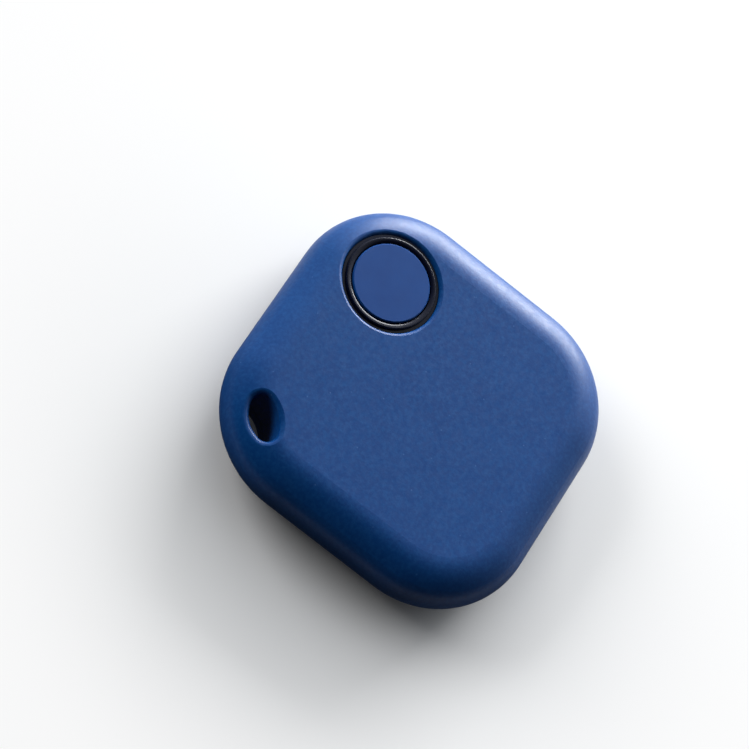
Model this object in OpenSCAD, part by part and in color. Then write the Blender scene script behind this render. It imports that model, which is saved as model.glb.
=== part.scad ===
// Bluetooth tracker tag: a soft-edged square key tag with a round push button,
// a keyring slot through one corner and a coin cell inside.
// Sizes are in millimetres. The rear face lies on z = 0 and the button looks up (+Z).
// The slot is at the -X +Y corner and the button near the +X +Y corner.

/* [Case] */
// Side of the square case, at its widest
side = 38; // [37.6:0.2:41.8]
// Thickness of the case, rear face to front face
thickness = 7.4; // [7.3:0.1:8.4]
// Radius of the four corners, seen from the front
corner_r = 11.8; // [11:0.2:12.4]
// How far in from the side the flat front face ends
edge_reach = 4.6; // [4.2:0.1:4.9]
// Radius of the edge's nose, at mid height
edge_nose_r = 3.2; // [2.9:0.1:3.4]
// Height of the parting line between the two shells
seam_z = 1.8; // [1.6:0.1:2]
// Thickness of the front and rear walls
wall = 1.1; // [1:0.05:1.15]
// Depth of the side wall at the case's widest
side_wall = 1.45; // [1.35:0.05:1.5]

/* [Keyring slot] */
// Width of the oval slot, along the case's diagonal
slot_w = 3; // [2.6:0.1:3.3]
// Length of the slot, across the diagonal
slot_l = 5.2; // [4.6:0.1:5.6]
// Distance of the slot from the case's outer corner to the slot's middle
slot_from_corner = 3.65; // [3.4:0.05:3.8]
// Radius of the slot's two ends
slot_end_r = 1.05; // [0.9:0.05:1.2]
// Radius of the slot's rounded lip
slot_lip_r = 0.55; // [0.4:0.05:0.7]
// Wall around the slot, inside the case
slot_boss_t = 1; // [0.8:0.1:1.2]

/* [Button] */
// Distance of the button's axis from the right-hand side
button_from_right = 10.4; // [9.8:0.1:10.6]
// Distance of the button's axis from the upper side
button_from_top = 9; // [8.6:0.1:9.4]
// Radius of the button's face
button_r = 4.45; // [4:0.05:4.6]
// Travel of the button, to the switch's click
button_travel = 0.25; // [0.15:0.05:0.3]
// Width of the black bezel's sloping bead
bead_w = 0.6; // [0.5:0.05:0.7]
// Width of the groove between the bead and the case
groove_w = 0.35; // [0.2:0.05:0.4]

/* [Inside] */
// Diameter of the coin cell
cell_d = 20; // [16:0.5:20]
// Height of the coin cell
cell_h = 3.2; // [2:0.1:3.2]
// Thickness of the circuit board
board_t = 0.8; // [0.6:0.1:0.8]
// Side of the tactile switch
switch_side = 6; // [5:0.1:6]
// Side of the sounder
buzzer_side = 8.5; // [7.5:0.5:8.5]

/* [Fits] */
// Gap between the two shells at the parting line
seam_gap = 0.05; // [0.02:0.01:0.1]
// Gap between the rear shell's tongue and the front shell
tongue_gap = 0.12; // [0.1:0.01:0.15]
// Gap between the button and its bezel
button_gap = 0.15; // [0.1:0.01:0.2]
// Gap between the bezel and the case
bezel_gap = 0.05; // [0.02:0.01:0.08]
// Gap left where one piece rests on another that moves
rest_gap = 0.02; // [0.01:0.01:0.04]

/* [Hidden] */
$fn = 96;
over = 1;
half = side / 2;
mid_z = thickness / 2;
corner_c = half - corner_r;

// The edge is two tangent arcs: a wide shoulder that leaves the flat face, then the nose
shoulder_turn = 90 - 2 * atan((mid_z - edge_nose_r) / (edge_reach - edge_nose_r));
shoulder_r = edge_nose_r + (edge_reach - edge_nose_r) / cos(shoulder_turn);
shoulder_c = corner_r - edge_reach;
nose_c = shoulder_c + (shoulder_r - edge_nose_r) * cos(shoulder_turn);

// Shells
tongue_t = 0.78;
tongue_out = side_wall + tongue_gap;
tongue_in = tongue_out + tongue_t;
tongue_h = 1.2;
tongue_root = 0.3;
tongue_z = seam_z + tongue_h;
bead_clear = 0.04;
bead_out = tongue_gap - bead_clear;
bead_r = 0.35;
bead_l = 7;
bead_rise = 0.75;
bead_z = seam_z + bead_rise;
catch_gap = 0.06;
pry_w = 8;
pry_h = 0.7;
pry_depth = 0.9;
roof_z = thickness - wall;
corner_reach = (half - corner_r) * sqrt(2) + corner_r;
slot_c = (corner_reach - slot_from_corner) / sqrt(2);
slot_end_c = slot_l / 2 - slot_end_r;
slot_side_r = (pow(slot_end_c, 2) + pow(slot_w / 2, 2) - pow(slot_end_r, 2))
              / (slot_w - 2 * slot_end_r);
slot_side_c = slot_side_r - slot_w / 2;
slot_turn = atan(slot_side_c / slot_end_c);
slot_ribs = 60;
lip_steps = 6;
lip_over = 0.02;

// Circuit board
board_gap = 0.4;
board_z = wall + board_gap;
board_top = board_z + board_t;
board_room = 0.2;
board_inset = max(tongue_in, shoulder_inset(board_z, wall)) + board_room;
board_half = half - board_inset;
board_corner = corner_c + (corner_r - board_inset) / sqrt(2);
boss_room = 0.4;
pin_r = 0.6;
pin_room = 0.1;
post_r = 1.15;
stake_r = 1.05;
stake_h = 0.3;
post_room = 1;
post_corner = board_corner - post_room;
grid = 0.2;

// Coin cell and its contacts
cell_r = cell_d / 2;
cell_x = 0;
spare = half - tongue_in + board_half - cell_d - buzzer_side;
cell_share = 0.4;
cell_y = tongue_in - half + cell_share * spare + cell_r;
leaf_t = 0.15;
cell_lift = 0.3;
cell_z = board_top + cell_lift;
cell_top = cell_z + cell_h;
can_t = 0.25;
crimp_r = 0.5;
cap_inset = 1.15;
cap_r = cell_r - cap_inset;
cap_step = 0.3;
gasket_t = 0.35;
pellet_r = cap_r - 2 * can_t;
anode_t = 0.5;
separator_t = 0.1;
clip_t = 0.2;
clip_w = 6.5;
clip_room = 0.35;
clip_foot = 1.2;
clip_bend = 0.4;
pad_r = 4;

// Button, bezel and switch
button_x = half - button_from_right;
button_y = half - button_from_top;
sink = 0.1;
bead_sink = 0.1;
bead_slope_r = 0.75;
bead_crest_r = 0.15;
groove_depth = 0.45;
bezel_in = button_r + button_gap;
neck_r = bezel_in + bead_w + groove_w;
neck_z = thickness - groove_depth;
flange_w = 0.65;
flange_r = neck_r + flange_w;
flange_t = 0.6;
flange_z = roof_z - flange_t;
opening_r = neck_r + bezel_gap;
opening_lip = 0.45;
opening_ribs = 60;
collar_in = flange_r + bezel_gap;
collar_t = 0.8;
collar_h = 1;
rib_t = 0.8;
cap_wall = 0.85;
cap_chamfer = 0.12;
cap_flange_w = 0.6;
cap_flange_r = bezel_in + cap_flange_w;
cap_flange_t = 0.5;
cap_flange_gap = 0.1;
cap_flange_z = flange_z - cap_flange_gap;
cap_skin = 0.9;
pusher_r = 1.5;
plunger_sink = 0.2;
plunger_top = cap_flange_z - plunger_sink;
pusher_z = plunger_top + rest_gap;
switch_h = 2.3;
switch_top = board_top + switch_h;
frame_t = 0.25;
well_r = 2.3;
well_floor = 0.9;
well_z = board_top + well_floor;
dome_r = 2.1;
dome_left = 0.2;
dome_h = button_travel + dome_left;
dome_t = 0.12;
plunger_r = 1.7;
plunger_flange_r = 2.1;
plunger_flange_t = 0.35;
plunger_room = 0.1;
nub_r = 0.6;
foot_t = 0.2;
foot_l = 1.3;

// Sounder: along the case it shares the spare room with the cell, and across it stands midway
// between the slot's boss and the switch's feet
buzzer_share = 0.15;
boss_right = slot_arc(45) * [cos(45), sin(45)] + slot_arc_r(45) + slot_boss_t - slot_c;
buzzer_x = (boss_right + button_x - switch_side / 2 - foot_l) / 2;
buzzer_y = board_half - buzzer_share * spare - buzzer_side / 2;
buzzer_h = 3;
buzzer_base_t = 0.5;
buzzer_skin = 0.4;
buzzer_wall = 0.5;
buzzer_bore = buzzer_side / 2 - buzzer_wall;
buzzer_ledge = 1.95;
ledge_w = 0.3;
buzzer_corner = 0.6;
port_r = 0.6;
pole_r = 0.8;
pole_gap = 0.2;
coil_r = 2.1;
coil_h = 1.1;
coil_gap = 0.1;
magnet_in = 2.4;
magnet_h = 1.2;
diaphragm_t = 0.1;
diaphragm_gap = 0.05;
weight_r = 1.2;
weight_t = 0.3;

// Small components, each with its size across, along and up
chip_size = [4, 4, 0.85];
antenna_size = [1.6, 3.2, 1.1];
main_crystal_size = [1.6, 2, 0.5];
watch_crystal_size = [1.5, 3.2, 0.8];
capacitor_size = [1, 0.5, 0.5];
resistor_size = [1, 0.5, 0.35];
inductor_size = [1.6, 0.8, 0.8];
driver_size = [1.3, 2.9, 0.95];
driver_lift = 0.05;
lead_size = [0.6, 0.4, 0.15];
lead_spacing = 1.9;

// Slice of a disc between two angles
module sector(r, from, to) {
  reach = 2 * r;
  middle = (from + to) / 2;
  intersection() {
    circle(r);
    polygon([[0, 0],
             [reach * cos(from), reach * sin(from)],
             [reach * cos(middle), reach * sin(middle)],
             [reach * cos(to), reach * sin(to)]]);
  }
}

// Section of the case from a corner's axis outwards, drawn in by the given depth
module edge_section(depth) {
  translate([0, depth])
    square([shoulder_c, thickness - 2 * depth]);
  translate([shoulder_c, thickness - shoulder_r])
    sector(shoulder_r - depth, shoulder_turn, 90);
  translate([shoulder_c, shoulder_r])
    sector(shoulder_r - depth, -90, -shoulder_turn);
  translate([nose_c, mid_z])
    sector(edge_nose_r - depth, -shoulder_turn, shoulder_turn);
}

// The whole pebble-shaped case, drawn in on every side by the given depth
module pebble(depth) {
  for (k = [0:3])
    rotate(90 * k) {
      translate([corner_c, corner_c, 0])
        rotate_extrude(angle = 90)
          edge_section(depth);
      translate([corner_c, corner_c, 0])
        rotate([90, 0, 0])
          linear_extrude(2 * corner_c)
            edge_section(depth);
    }
  translate([-corner_c, -corner_c, depth])
    cube([2 * corner_c, 2 * corner_c, thickness - 2 * depth]);
}

// Rounded square that follows the case's outline at the given depth
module outline(depth) {
  reach = half - depth;
  r = corner_r - depth;
  square([2 * reach, 2 * corner_c], center = true);
  square([2 * corner_c, 2 * reach], center = true);
  for (x = [-1, 1], y = [-1, 1])
    translate([x * corner_c, y * corner_c])
      circle(r);
}

// Upright block inside the outline at the given depth, between two heights
module block(depth, from, to) {
  translate([0, 0, from])
    linear_extrude(to - from)
      outline(depth);
}

// Everything between two heights
module layer(from, to) {
  translate([-side, -side, from])
    cube([2 * side, 2 * side, to - from]);
}

// Places what is drawn about the origin at the keyring slot, its length along x
module at_slot() {
  translate([-slot_c, slot_c, 0])
    rotate(45)
      children();
}

// Outline of the slot, an oval of four tangent arcs, grown by the given amount
module slot_outline(grow) {
  meet = slot_end_c + (slot_end_r + grow) * cos(slot_turn);
  at_slot()
    for (turn = [0, 180])
      rotate(turn) {
        translate([slot_end_c, 0])
          circle(slot_end_r + grow);
        intersection() {
          translate([0, -slot_side_c])
            circle(slot_side_r + grow);
          translate([-meet, 0])
            square([2 * meet, slot_l]);
        }
      }
}

// Whether the slot's outline is on one of its ends where it looks in a direction
function on_slot_end(angle) = abs(cos(angle)) >= cos(slot_turn);

// Middle of the outline's arc there, with the slot's length along x
function slot_arc(angle) =
  on_slot_end(angle) ? [sign(cos(angle)) * slot_end_c, 0] : [0, -sign(sin(angle)) * slot_side_c];

// Radius of that arc
function slot_arc_r(angle) = on_slot_end(angle) ? slot_end_r : slot_side_r;

// How far a point of the plan lies outside the square between the corners' axes
function past_square(p) =
  [max(abs(p[0]) - corner_c, 0) * sign(p[0]), max(abs(p[1]) - corner_c, 0) * sign(p[1])];

// How far it lies past the edge of the flat face
function past_flat(p) = norm(past_square(p)) - shoulder_c;

// Whether it lies past the shoulder, on the nose, with the case drawn in by a depth
function on_nose(p, depth) = past_flat(p) > (shoulder_r - depth) * cos(shoulder_turn);

// Height of the front face over a point of the plan, with the case drawn in by a depth
function face_z(p, depth) =
  past_flat(p) <= 0 ? thickness - depth
  : on_nose(p, depth)
    ? mid_z + sqrt(pow(edge_nose_r - depth, 2) - pow(past_flat(p) - nose_c + shoulder_c, 2))
    : thickness - shoulder_r + sqrt(pow(shoulder_r - depth, 2) - pow(past_flat(p), 2));

// Direction the front face looks in at that point
function face_normal(p, depth) =
  past_flat(p) <= 0 ? [0, 0, 1]
  : let (out = past_square(p) / norm(past_square(p)),
         lean = on_nose(p, depth)
           ? asin((past_flat(p) - nose_c + shoulder_c) / (edge_nose_r - depth))
           : asin(past_flat(p) / (shoulder_r - depth)))
    [out[0] * sin(lean), out[1] * sin(lean), cos(lean)];

// Unit vector part of the way round from one to another
function swing(from, to, part) =
  let (angle = acos(from * to))
  (from * sin((1 - part) * angle) + to * sin(part * angle)) / sin(angle);

// One rib of a rolled lip: up out of the hole, over a ball that touches wall and face
function lip_rib(edge, out, r) =
  let (c = edge + out * r,
       ball = [c[0], c[1], face_z(c, r)],
       wall_way = [-out[0], -out[1], 0],
       up = face_normal(c, r),
       top = ball + up * (r + lip_over))
  concat([[edge[0], edge[1], ball[2] - r] + wall_way * lip_over],
         [for (k = [0:lip_steps])
            ball + swing(wall_way, up, k / lip_steps)
                   * (r + (k == 0 || k == lip_steps ? lip_over : 0))],
         [[top[0], top[1], thickness + over]]);

// What a rolled lip takes away, lofted through the ribs round a hole about the given middle
module lip_loft(ribs, middle) {
  rings = len(ribs[0]);
  count = len(ribs);
  floor_z = min([for (rib = ribs) rib[0][2]]);
  points = concat([for (rib = ribs) each rib],
                  [[middle[0], middle[1], floor_z], [middle[0], middle[1], thickness + over]]);
  faces = concat(
    [for (i = [0:count - 1], k = [0:rings - 2], half_face = [0, 1])
       let (a = i * rings + k, b = ((i + 1) % count) * rings + k)
       half_face == 0 ? [a, a + 1, b] : [b, a + 1, b + 1]],
    [for (i = [0:count - 1])
       [i * rings, ((i + 1) % count) * rings, count * rings]],
    [for (i = [0:count - 1])
       [i * rings + rings - 1, count * rings + 1, ((i + 1) % count) * rings + rings - 1]]);
  polyhedron(points, faces);
}

// Points round the slot's outline, each with the way out of the hole
function slot_edge() =
  [for (k = [0:slot_ribs - 1])
     let (angle = 360 * k / slot_ribs,
          arc = slot_arc(angle),
          along = [cos(45), sin(45)],
          across = [-sin(45), cos(45)],
          out = along * cos(angle) + across * sin(angle))
     [[-slot_c, slot_c] + along * arc[0] + across * arc[1] + out * slot_arc_r(angle), out]];

// The slot's mouth on the front face, its lip rolled over to follow the case's corner
module slot_mouth() {
  lip_loft([for (e = slot_edge()) lip_rib(e[0], e[1], slot_lip_r)], [-slot_c, slot_c]);
}

// The slot's hole, with the rounded mouth on the front face
module slot_cut() {
  translate([0, 0, -over])
    linear_extrude(thickness + 2 * over)
      slot_outline(0);
  slot_mouth();
}

// The same hole with the mouth on the rear face
module rear_slot_cut() {
  translate([0, 0, thickness])
    mirror([0, 0, 1])
      slot_cut();
}

// Wall around the slot between two heights
module slot_boss(from, to) {
  intersection() {
    translate([0, 0, from])
      linear_extrude(to - from)
        slot_outline(slot_boss_t);
    pebble(0);
  }
}

// Bar of a snap bead or its catch, one on each side of the case
module snap_bars(depth, r, length) {
  for (k = [0:3])
    rotate(90 * k)
      translate([half - depth, length / 2, bead_z])
        rotate([90, 0, 0])
          cylinder(h = length, r = r);
}

// Places what is drawn about the origin on the button's axis
module at_button() {
  translate([button_x, button_y, 0])
    children();
}

// Front cover: soft-edged bowl with the button opening, the slot and its boss
module front_shell() {
  color("#2c4b81")
    difference() {
      union() {
        difference() {
          intersection() {
            pebble(0);
            layer(seam_z + seam_gap, thickness + over);
          }
          front_hollow();
        }
        slot_boss(seam_z + seam_gap, thickness - slot_lip_r);
        button_collar();
      }
      slot_cut();
      button_opening();
      bezel_seat();
      snap_bars(side_wall + bead_r - bead_out - catch_gap, bead_r + catch_gap,
                bead_l + 2 * catch_gap);
    }
}

// Space inside the front cover: straight sides below, rounded under the roof
module front_hollow() {
  block(side_wall, 0, mid_z);
  intersection() {
    block(side_wall, wall, thickness);
    pebble(wall);
  }
}

// Collar that locates the bezel's flange, with ribs out to the side walls
module button_collar() {
  intersection() {
    at_button()
      translate([0, 0, roof_z - collar_h]) {
        cylinder(h = collar_h + wall / 2, r = collar_in + collar_t);
        for (turn = [0, 45, 90])
          rotate(turn)
            translate([0, -rib_t / 2, 0])
              cube([corner_r, rib_t, collar_h + wall / 2]);
      }
    pebble(wall / 2);
  }
}

// Seat for the bezel's flange under the roof
module bezel_seat() {
  at_button()
    cylinder(h = roof_z, r = collar_in);
}

// Opening for the bezel and button, with a small rolled lip
module button_opening() {
  place = [button_x, button_y];
  at_button()
    translate([0, 0, roof_z - over])
      cylinder(h = wall + 2 * over, r = opening_r);
  lip_loft([for (k = [0:opening_ribs - 1])
              let (out = [cos(360 * k / opening_ribs), sin(360 * k / opening_ribs)])
              lip_rib(place + out * opening_r, out, opening_lip)], place);
}

// Black bezel: a bead that slopes down to the button, on a neck held from inside by its flange
module button_ring() {
  crest = bezel_in + bead_w - bead_crest_r;
  bead_top = thickness - bead_sink;
  color("#101216")
    at_button()
      rotate_extrude() {
        translate([bezel_in, flange_z])
          square([flange_r - bezel_in, flange_t]);
        translate([bezel_in, flange_z])
          square([neck_r - bezel_in, neck_z - flange_z]);
        intersection() {
          translate([crest, bead_top - bead_slope_r])
            circle(bead_slope_r);
          translate([bezel_in, flange_z])
            square([crest - bezel_in, thickness - flange_z]);
        }
        translate([crest, bead_top - bead_crest_r])
          sector(bead_crest_r, 0, 90);
        translate([crest, flange_z])
          square([bead_crest_r, bead_top - bead_crest_r - flange_z]);
      }
}

// Button: flat face with a fine chamfer, hollow below, with a flange and a pusher
module button_cap() {
  top = thickness - sink;
  color("#344e84")
    at_button()
      rotate_extrude() {
        difference() {
          union() {
            polygon([[0, cap_flange_z - cap_flange_t],
                     [button_r, cap_flange_z - cap_flange_t],
                     [button_r, top - cap_chamfer],
                     [button_r - cap_chamfer, top],
                     [0, top]]);
            translate([0, cap_flange_z - cap_flange_t])
              square([cap_flange_r, cap_flange_t]);
          }
          translate([0, cap_flange_z - cap_flange_t - over])
            square([button_r - cap_wall, top - cap_skin - cap_flange_z + cap_flange_t + over]);
        }
        translate([0, pusher_z])
          square([pusher_r, top - cap_skin / 2 - pusher_z]);
      }
}

// Rear cover: shallow tray with a tongue, snap beads, board posts and a pry notch
module rear_shell() {
  color("#2a487c")
    difference() {
      union() {
        difference() {
          intersection() {
            pebble(0);
            layer(-over, seam_z);
          }
          intersection() {
            block(tongue_in, wall, thickness);
            pebble(wall);
          }
        }
        tongue();
        slot_boss(wall / 2, seam_z);
        board_posts();
      }
      rear_slot_cut();
      pry_notch();
    }
}

// Upstanding rim that slides inside the front cover, broken where the slot's boss passes
module tongue() {
  difference() {
    union() {
      difference() {
        block(tongue_out, seam_z - tongue_root, tongue_z);
        block(tongue_in, seam_z - over, tongue_z + over);
      }
      intersection() {
        snap_bars(tongue_out + bead_r - bead_out, bead_r, bead_l);
        difference() {
          block(0, seam_z, thickness);
          block(tongue_in - tongue_t / 2, 0, thickness);
        }
      }
    }
    translate([0, 0, seam_z])
      linear_extrude(thickness)
        slot_outline(slot_boss_t + tongue_gap);
  }
}

// Posts under the circuit board, with pins through it and flattened heads above it
module board_posts() {
  for (p = post_places())
    translate([p[0], p[1], wall / 2]) {
      cylinder(h = board_z - wall / 2, r = post_r);
      cylinder(h = board_top + stake_h / 2 - wall / 2, r = pin_r);
      translate([0, 0, board_top - wall / 2])
        cylinder(h = stake_h, r1 = stake_r, r2 = stake_r / 2);
    }
}

// Notch under the parting line, for a coin or a nail to prise the front cover off
module pry_notch() {
  translate([0, -half + edge_inset(seam_z), seam_z - pry_h / 2])
    for (x = [-1, 1])
      translate([x * (pry_w - pry_h) / 2, 0, 0])
        rotate([90, 0, 0])
          cylinder(h = 2 * pry_depth, r = pry_h / 2, center = true);
  translate([-(pry_w - pry_h) / 2, -half + edge_inset(seam_z) - pry_depth, seam_z - pry_h])
    cube([pry_w - pry_h, 2 * pry_depth, pry_h + over]);
  translate([-pry_w / 2, -half + edge_inset(seam_z) - pry_depth, seam_z - pry_h / 2])
    cube([pry_w, 2 * pry_depth, pry_h]);
}

// How far the nose of the edge lies inside the side at a height near the middle
function edge_inset(z) =
  corner_r - nose_c - sqrt(pow(edge_nose_r, 2) - pow(mid_z - z, 2));

// How far the rear shoulder of the edge lies inside the side, with the case drawn in by a depth
function shoulder_inset(z, depth) =
  edge_reach - sqrt(pow(shoulder_r - depth, 2) - pow(shoulder_r - z, 2));

// Place on the board's right-hand part: grid steps in from the right edge, and up from the cell's axis
function right_place(across, up) = [board_half - across * grid, cell_y + up * grid];

// Place on its left-hand part, in grid steps in from the left edge
function left_place(across, up) = [across * grid - board_half, cell_y + up * grid];

// Places of the four board posts
function post_places() =
  [[-post_corner, -post_corner], [post_corner, -post_corner], left_place(7.5, 38), right_place(7.5, 47)];

// Circuit board with holes for the pins and a bite for the slot's boss
module circuit_board() {
  color("#1d5a34")
    difference() {
      block(board_inset, board_z, board_top);
      translate([0, 0, board_z - over])
        linear_extrude(board_t + 2 * over) {
          slot_outline(slot_boss_t + boss_room);
          for (p = post_places())
            translate(p)
              circle(pin_r + pin_room);
        }
    }
}

// Places what is drawn about the origin on the cell's axis, at its lower face
module at_cell() {
  translate([cell_x, cell_y, cell_z])
    children();
}

// Section of the can from its axis out, with both outer corners rounded
module can_section(reach, from, to, r) {
  translate([0, from])
    square([reach - r, to - from]);
  translate([0, from + r])
    square([reach, to - from - 2 * r]);
  for (z = [from + r, to - r])
    translate([reach - r, z])
      circle(r);
}

// Cell can: the wide cup with the positive face up, crimped in at its lower edge
module cell_can() {
  color("#c9ccd0")
    at_cell()
      rotate_extrude()
        difference() {
          can_section(cell_r, cap_step, cell_h, crimp_r);
          can_section(cell_r - can_t, cap_step + can_t, cell_h - can_t, crimp_r - can_t);
          square([cap_r + gasket_t, cell_h / 2]);
        }
}

// Cell gasket: the thin insulating ring between can and cap
module cell_gasket() {
  color("#e8e4d8")
    at_cell()
      rotate_extrude() {
        translate([cap_r, cap_step / 2])
          square([gasket_t, cell_h / 2 - cap_step / 2]);
      }
}

// Cell cap: the negative face, a shallow cup inside the gasket
module cell_cap() {
  color("#b9bdc2")
    at_cell()
      rotate_extrude()
        difference() {
          union() {
            square([cap_r - can_t, cell_h / 2]);
            translate([0, can_t])
              square([cap_r, cell_h / 2 - can_t]);
            translate([cap_r - can_t, can_t])
              circle(can_t);
          }
          translate([0, can_t])
            square([cap_r - can_t, cell_h]);
        }
}

// Lithium disc in the cell's cap
module cell_anode() {
  color("#a9adb2")
    at_cell()
      translate([0, 0, can_t])
        cylinder(h = anode_t, r = pellet_r);
}

// Separator between the lithium disc and the pellet
module cell_separator() {
  color("#efece4")
    at_cell()
      translate([0, 0, can_t + anode_t])
        cylinder(h = separator_t, r = pellet_r);
}

// Pressed pellet under the can's face
module cell_cathode() {
  pellet_z = can_t + anode_t + separator_t;
  color("#26272a")
    at_cell()
      translate([0, 0, pellet_z])
        cylinder(h = cell_h - can_t - pellet_z, r = pellet_r);
}

// Section of the clip's bridge, from the middle of the cell out and down to the board
module clip_section() {
  reach = cell_r + clip_room;
  rise = cell_top - board_top;
  difference() {
    bridge(reach + clip_t, rise + clip_t, clip_bend + clip_t);
    bridge(reach, rise, clip_bend);
  }
  for (x = [-1, 1])
    translate([x * (reach + clip_foot / 2), clip_t / 2])
      square([clip_foot, clip_t], center = true);
}

// Filled arch with rounded upper corners
module bridge(reach, rise, r) {
  translate([-reach, 0])
    square([2 * reach, rise - r]);
  translate([r - reach, 0])
    square([2 * (reach - r), rise]);
  for (x = [-1, 1])
    translate([x * (reach - r), rise - r])
      circle(r);
}

// Clip: spring bridge over the cell, with a finger cut free in its middle
module cell_clip() {
  finger_l = 7;
  finger_w = 2.6;
  slit = 0.5;
  waist = 1.1;
  color("#d6d2c4")
    translate([cell_x, cell_y, board_top])
      difference() {
        translate([0, clip_w / 2, 0])
          rotate([90, 0, 0])
            linear_extrude(clip_w)
              clip_section();
        translate([0, 0, cell_h])
          linear_extrude(over * 2) {
            difference() {
              square([finger_l, finger_w + 2 * slit], center = true);
              translate([slit, 0])
                square([finger_l, finger_w], center = true);
            }
            for (y = [-1, 1])
              for (x = [-1, 1])
                translate([x * (cell_r - 3), y * (clip_w / 2 + waist / 2)])
                  circle(waist);
          }
      }
}

// Leaf contact under the cell: a soldered pad with two arms that spring up to the cap
module negative_contact() {
  pad_l = 5;
  pad_w = 3;
  arm_l = 4;
  arm_w = 2;
  lean = asin((cell_z - board_top - leaf_t - rest_gap) / arm_l);
  color("#d9c27a")
    translate([cell_x, cell_y, board_top]) {
      translate([-pad_l / 2, -pad_w / 2, 0])
        cube([pad_l, pad_w, leaf_t]);
      for (turn = [0, 180])
        rotate(turn)
          translate([pad_l / 2 - leaf_t, -arm_w / 2, 0])
            rotate([0, -lean, 0])
              cube([arm_l, arm_w, leaf_t]);
    }
}

// Foam pad on the front cover's roof, over the cell
module cell_pad() {
  color("#2b2d30")
    translate([cell_x, cell_y, cell_top + clip_t + rest_gap])
      cylinder(h = roof_z - cell_top - clip_t - rest_gap, r = pad_r);
}

// Switch base: moulded body with a round well for the dome and plunger
module switch_base() {
  color("#17181a")
    at_button()
      difference() {
        translate([-switch_side / 2, -switch_side / 2, board_top])
          cube([switch_side, switch_side, switch_top - frame_t - board_top]);
        translate([0, 0, well_z])
          cylinder(h = thickness, r = well_r);
      }
}

// Switch terminals: four bent feet
module switch_terminals() {
  foot_w = 0.7;
  foot_rise = 0.7;
  spread = 0.75 * switch_side;
  color("#c8ccd0")
    at_button()
      for (x = [-1, 1])
        for (y = [-1, 1])
          translate([x * switch_side / 2, y * spread / 2 - foot_w / 2, board_top])
            mirror([x < 0 ? 1 : 0, 0, 0]) {
              cube([foot_l, foot_w, foot_t]);
              cube([foot_t, foot_w, foot_rise]);
            }
}

// Switch dome: thin domed disc that snaps through under the plunger
module switch_dome() {
  ball = (pow(dome_r, 2) + pow(dome_h, 2)) / (2 * dome_h);
  color("#cfd3d6")
    at_button()
      translate([0, 0, well_z])
        intersection() {
          translate([0, 0, dome_h - ball])
            difference() {
              sphere(ball);
              sphere(ball - dome_t);
            }
          cylinder(h = dome_h, r = dome_r);
        }
}

// Switch plunger: stem through the frame, with a flange below it and a nub on the dome
module switch_plunger() {
  flange_top = switch_top - frame_t - plunger_room;
  color("#e4e2dc")
    at_button() {
      translate([0, 0, flange_top - plunger_flange_t])
        cylinder(h = plunger_flange_t, r = plunger_flange_r);
      translate([0, 0, flange_top - plunger_flange_t])
        cylinder(h = plunger_top - flange_top + plunger_flange_t, r = plunger_r);
      translate([0, 0, well_z + dome_h + rest_gap])
        cylinder(h = flange_top - well_z - dome_h - rest_gap, r = nub_r);
    }
}

// Switch frame: metal plate over the base with side tabs bent down
module switch_frame() {
  tab_w = 2.2;
  tab_h = 1.2;
  tab_t = 0.2;
  color("#c3c7cb")
    at_button()
      difference() {
        union() {
          translate([-switch_side / 2, -switch_side / 2, switch_top - frame_t])
            cube([switch_side, switch_side, frame_t]);
          for (y = [-1, 1])
            translate([0, y * (switch_side + tab_t) / 2, switch_top - tab_h / 2])
              cube([tab_w, tab_t, tab_h], center = true);
        }
        translate([0, 0, switch_top - frame_t - over])
          cylinder(h = frame_t + 2 * over, r = plunger_r + plunger_room);
      }
}

// Places what is drawn about the origin on the sounder's axis, on the board
module at_buzzer() {
  translate([buzzer_x, buzzer_y, board_top])
    children();
}

// Rounded square of the sounder
module buzzer_outline() {
  r = buzzer_corner;
  reach = buzzer_side / 2;
  square([2 * reach, 2 * (reach - r)], center = true);
  square([2 * (reach - r), 2 * reach], center = true);
  for (x = [-1, 1], y = [-1, 1])
    translate([x * (reach - r), y * (reach - r)])
      circle(r);
}

// Sounder base: square plate with the iron pole in its middle
module buzzer_base() {
  color("#3a3c40")
    at_buzzer() {
      linear_extrude(buzzer_base_t)
        buzzer_outline();
      cylinder(h = buzzer_ledge - pole_gap, r = pole_r);
    }
}

// Sounder coil around the pole
module buzzer_coil() {
  color("#b0662f")
    at_buzzer()
      translate([0, 0, buzzer_base_t])
        difference() {
          cylinder(h = coil_h, r = coil_r);
          translate([0, 0, -over])
            cylinder(h = coil_h + 2 * over, r = pole_r + coil_gap);
        }
}

// Sounder magnet: ring around the coil
module buzzer_magnet() {
  color("#55585c")
    at_buzzer()
      translate([0, 0, buzzer_base_t])
        difference() {
          cylinder(h = magnet_h, r = buzzer_bore - ledge_w - coil_gap);
          translate([0, 0, -over])
            cylinder(h = magnet_h + 2 * over, r = magnet_in);
        }
}

// Sounder diaphragm: thin disc with a weight, on the case's inner ledge
module buzzer_diaphragm() {
  color("#c5c8cb")
    at_buzzer()
      translate([0, 0, buzzer_ledge]) {
        cylinder(h = diaphragm_t, r = buzzer_bore - diaphragm_gap);
        cylinder(h = weight_t, r = weight_r);
      }
}

// Sounder case: moulded cover with a sound port in its top
module buzzer_case() {
  color("#141517")
    at_buzzer()
      difference() {
        translate([0, 0, buzzer_base_t])
          linear_extrude(buzzer_h - buzzer_base_t)
            buzzer_outline();
        translate([0, 0, -over])
          cylinder(h = buzzer_ledge + over, r = buzzer_bore - ledge_w);
        translate([0, 0, buzzer_ledge])
          cylinder(h = buzzer_h - buzzer_skin - buzzer_ledge, r = buzzer_bore);
        translate([buzzer_bore / 2, -buzzer_bore / 2, 0])
          cylinder(h = buzzer_h + over, r = port_r);
      }
}

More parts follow.
